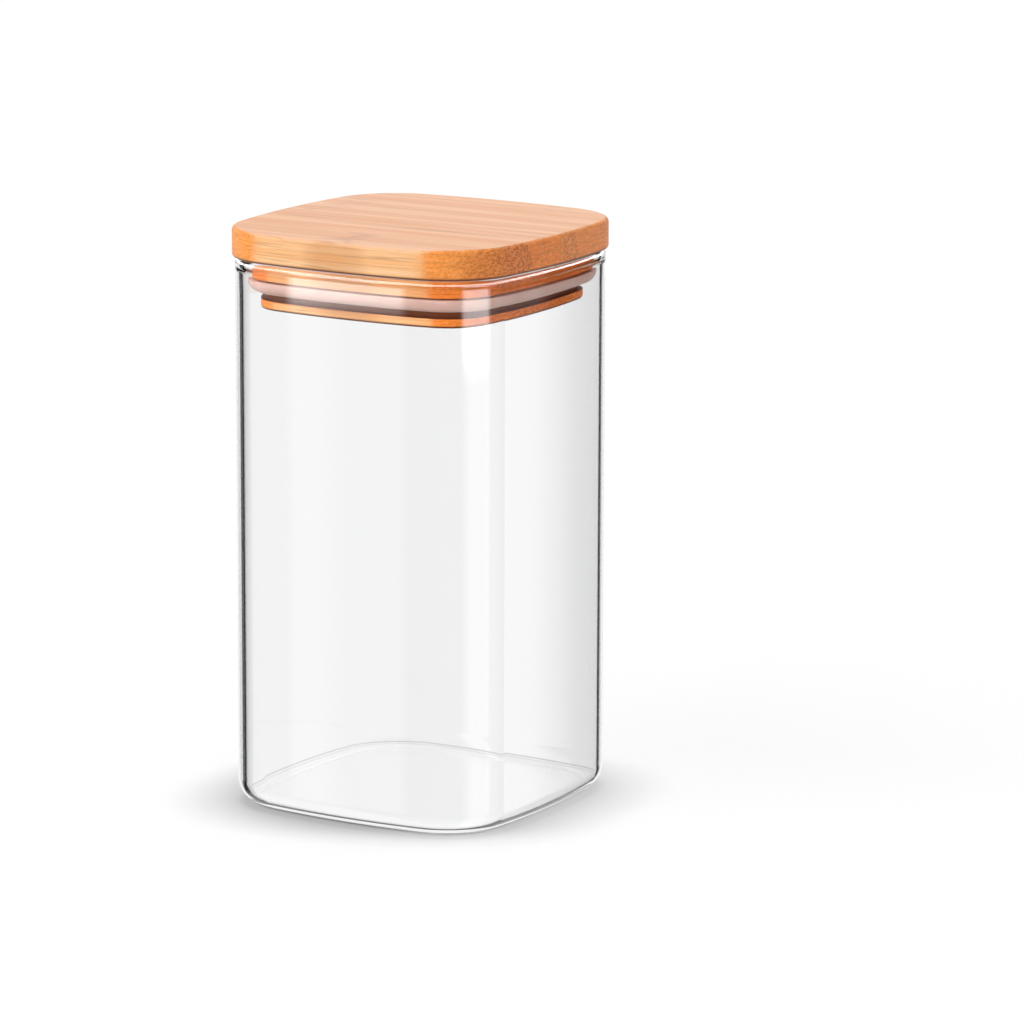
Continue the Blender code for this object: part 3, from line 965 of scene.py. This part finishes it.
def jar_fill(tree, direction, z):
    """What lights the things in the jar: a band round the horizon, brightest from the left."""
    facing = vector_maths(tree, "DOT_PRODUCT", direction, FILL_TOWARDS).outputs["Value"]
    fill = maths(tree, "MULTIPLY_ADD", facing, FILL_SLOPE, FILL_LEVEL)
    return maths(tree, "MULTIPLY_ADD", fill, band(tree, z, -FILL_HEIGHT, FILL_HEIGHT, FILL_FADE), FILL_REST)


def studio_world():
    """White for the camera and for refractions, and a plain soft level for diffuse light.

    Light that has crossed one skin of the glass only sees cards with dark gaps, which draw the
    dark lines along the edges of the glass. Sharp mirror images have a dimmer view. What is in
    the jar gets its light through the glass from the sides. Behind the right wall the white is
    a little stronger, to make up for what the slanting glass takes away.
    """
    world = bpy.data.worlds.new("studio")
    bpy.context.scene.world = world
    world.use_nodes = True
    tree = world.node_tree
    tree.nodes.clear()
    output = tree.nodes.new("ShaderNodeOutputWorld")
    path = tree.nodes.new("ShaderNodeLightPath").outputs
    direction = tree.nodes.new("ShaderNodeTexCoord").outputs["Generated"]
    x, y, z = split(tree, direction)
    towards, aside = toward_camera(tree, x, y)
    turn = maths(tree, "ABSOLUTE", maths(tree, "ARCTANGENT", maths(tree, "DIVIDE", aside, towards)))
    turn = maths(tree, "DEGREES", turn)
    behind = maths(tree, "LESS_THAN", towards, 0.0)
    on_axis = remap(tree, turn, *AXIS_CARD_FADE, 1.0, 0.0)
    side = remap(tree, turn, *SIDE_CARD_FADE)

    direct = maths(tree, "LESS_THAN", path["Diffuse Depth"], 0.5)
    through = path["Is Transmission Ray"]
    mirrored = maths(tree, "SUBTRACT", path["Is Glossy Ray"], through)
    sharp = product(tree, path["Is Singular Ray"], mirrored)
    skin = product(
        tree, through, maths(tree, "LESS_THAN", path["Transmission Depth"], ONE_SKIN_DEPTH), direct)
    in_jar = product(tree, through, maths(tree, "SUBTRACT", 1.0, direct))
    seen = maths(tree, "MAXIMUM", path["Is Glossy Ray"], through)
    seen = maths(tree, "MAXIMUM", path["Is Camera Ray"], seen)

    strength = maths(tree, "MULTIPLY_ADD", product(tree, seen, direct), 1.0 - SKY_LEVEL, SKY_LEVEL)
    right_wall = band(tree, aside, *BACKDROP_GAIN_ASIDE, BACKDROP_GAIN_FADE)
    gain = product(tree, right_wall, behind, BACKDROP_GAIN)
    strength = maths(tree, "MULTIPLY_ADD", gain, through, strength)
    strength = blend_values(tree, in_jar, strength, jar_fill(tree, direction, z))
    strength = blend_values(tree, skin, strength, skin_view(tree, on_axis, side, behind, towards, aside, z))
    strength = blend_values(tree, sharp, strength, mirror_view(tree, on_axis, side, behind, z))
    light = add_node(tree, "ShaderNodeBackground", {"Color": (1.0, 1.0, 1.0, 1.0), "Strength": strength})
    tree.links.new(light.outputs[0], output.inputs["Surface"])


def mirrored_ring(name, radius, bottom, top, material):
    """A staged cylinder round the jar that only mirror images show."""
    levels = np.linspace(bottom, top, CARD_ROWS)[:, None]
    ring = new_piece(name, [(round_band(radius, levels), True)], material)
    ring.visible_camera = ring.visible_diffuse = ring.visible_transmission = False
    ring.visible_shadow = ring.visible_volume_scatter = False


def sharp_glow(tree, output, strength):
    """See-through emission that only polished surfaces mirror."""
    sharp = tree.nodes.new("ShaderNodeLightPath").outputs["Is Singular Ray"]
    glow = add_node(tree, "ShaderNodeEmission", {"Strength": product(tree, strength, sharp)})
    clear = tree.nodes.new("ShaderNodeBsdfTransparent")
    both = add_node(tree, "ShaderNodeAddShader", {0: glow.outputs[0], 1: clear.outputs[0]})
    tree.links.new(both.outputs[0], output.inputs["Surface"])


def side_cards():
    """Two cards at the sides, the left one stronger, that the walls of the glass mirror.

    Both are dim low down, so that their images are strong on the plug and faint below it.
    """
    material, tree, output = new_material("screen")
    x, y, z = split(tree, millimetres(tree))
    towards, aside = toward_camera(tree, x, y)
    turn = maths(tree, "DEGREES", maths(tree, "ARCTAN2", aside, towards))
    left = product(
        tree, band(tree, turn, *LEFT_CARD_TURN, LEFT_CARD_FADE), LEFT_CARD_STRENGTH,
        remap(tree, z, *LEFT_CARD_RISE, LEFT_CARD_LOW_SHARE, 1.0))
    right = product(
        tree, band(tree, turn, *RIGHT_CARD_TURN, RIGHT_CARD_FADE), RIGHT_CARD_STRENGTH,
        remap(tree, z, *RIGHT_CARD_RISE, RIGHT_CARD_LOW_SHARE, 1.0))
    below_top = remap(tree, z, *CARD_TOP_FADE, 1.0, 0.0)
    sharp_glow(tree, output, product(tree, maths(tree, "ADD", left, right), below_top))
    mirrored_ring("screen", SCREEN_RADIUS, SCREEN_BOTTOM, SCREEN_TOP, material)


def rim_card():
    """A low ring round the lid, open at the back. Its image is the pale line along the rim."""
    material, tree, output = new_material("rim_card")
    x, y = split(tree, millimetres(tree))[:2]
    towards = toward_camera(tree, x, y)[0]
    sharp_glow(tree, output, remap(tree, towards, *RIM_CARD_END, 0.0, RIM_CARD_STRENGTH))
    mirrored_ring("rim_card", RIM_CARD_RADIUS, RIM_TOP + RIM_CARD_ABOVE, RIM_TOP + RIM_CARD_REACH, material)


def contact_shadow_card(name, start, stop, level, skin):
    """A flat ring on the floor under the glass's round base edge, between two insets of the plan.

    Only light that comes through glass meets it: through one skin if skin is set, else through
    more. It is a painted contact shadow, which the glass gathers into thin lines.
    """
    material, tree, output = new_material(name)
    depth = tree.nodes.new("ShaderNodeLightPath").outputs["Transmission Depth"]
    meets = maths(tree, "LESS_THAN" if skin else "GREATER_THAN", depth, ONE_SKIN_DEPTH)
    glow = add_node(tree, "ShaderNodeEmission", {"Strength": level})
    clear = tree.nodes.new("ShaderNodeBsdfTransparent")
    mix = add_node(tree, "ShaderNodeMixShader", {0: meets, 1: clear.outputs[0], 2: glow.outputs[0]})
    tree.links.new(mix.outputs[0], output.inputs["Surface"])
    ring = swept_section(straight((start, CONTACT_LEVEL), (stop, CONTACT_LEVEL), 2))
    card = new_piece(name, [(ring, True)], material)
    card.visible_camera = card.visible_diffuse = card.visible_glossy = False
    card.visible_shadow = card.visible_volume_scatter = False


def floor_shade(tree):
    """How bright the floor is: less under the jar, where it is closed in.

    The shade follows the ambient occlusion down to a darkest level, drops once more right at
    the contact, is a little stronger to the left, and fades out in front of the near corner.
    """
    open_share = add_node(
        tree, "ShaderNodeAmbientOcclusion", {"Distance": FLOOR_SHADE_REACH},
        samples=FLOOR_SHADE_SAMPLES).outputs["AO"]
    x, y = split(tree, millimetres(tree))[:2]
    towards, aside = toward_camera(tree, x, y)
    shown = product(
        tree, remap(tree, towards, *FLOOR_SHADE_END, 1.0, 0.0),
        remap(tree, aside, *FLOOR_SHADE_SIDES, *FLOOR_SIDE_SHARES))
    opened = maths(tree, "MULTIPLY_ADD", open_share, FLOOR_OPEN_SLOPE, FLOOR_OPEN_REST)
    soft = maths(tree, "SMOOTH_MAX", opened, FLOOR_DARKEST, FLOOR_DARKEST_EASE)
    soft = product(tree, soft, remap(tree, open_share, *FLOOR_CONTACT_RANGE, FLOOR_CONTACT_SHARE, 1.0))
    lost = product(tree, maths(tree, "SUBTRACT", 1.0, soft, clamp=True), shown)
    return maths(tree, "SUBTRACT", 1.0, lost)


def studio_floor():
    """A large pale floor that shows only its upper side, with a soft shade where the jar stands."""
    material, tree, output = new_material("floor")
    camera_ray = tree.nodes.new("ShaderNodeLightPath").outputs["Is Camera Ray"]
    shade = floor_shade(tree)
    colour = blend_colours(tree, camera_ray, FLOOR_LIT_COLOUR, product(tree, shade, FLOOR_SHARE))
    diffuse = add_node(tree, "ShaderNodeBsdfDiffuse", {"Color": colour})
    glow = add_node(tree, "ShaderNodeEmission", {"Strength": product(tree, shade, FLOOR_GLOW, camera_ray)})
    lit = add_node(tree, "ShaderNodeAddShader", {0: diffuse.outputs[0], 1: glow.outputs[0]})
    clear = tree.nodes.new("ShaderNodeBsdfTransparent")
    below = tree.nodes.new("ShaderNodeNewGeometry").outputs["Backfacing"]
    mix = add_node(tree, "ShaderNodeMixShader", {0: below, 1: lit.outputs[0], 2: clear.outputs[0]})
    tree.links.new(mix.outputs[0], output.inputs["Surface"])
    grid = round_band(np.array([0.0, FLOOR_RADIUS])[:, None], FLOOR_LEVEL)
    floor = new_piece("floor", [(grid, True)], material)
    if floor.data.polygons[0].normal.z < 0:
        floor.data.flip_normals()
    floor.visible_transmission = floor.visible_glossy = False


studio_camera()
studio_world()
side_cards()
rim_card()
for card_name, figures in CONTACT_SHADOW_CARDS.items():
    contact_shadow_card(card_name, *figures)
studio_floor()
studio_lamp()
blown_glass()
bamboo_lid()
silicone_ring()

scene = bpy.context.scene
scene.view_settings.view_transform = "Standard"
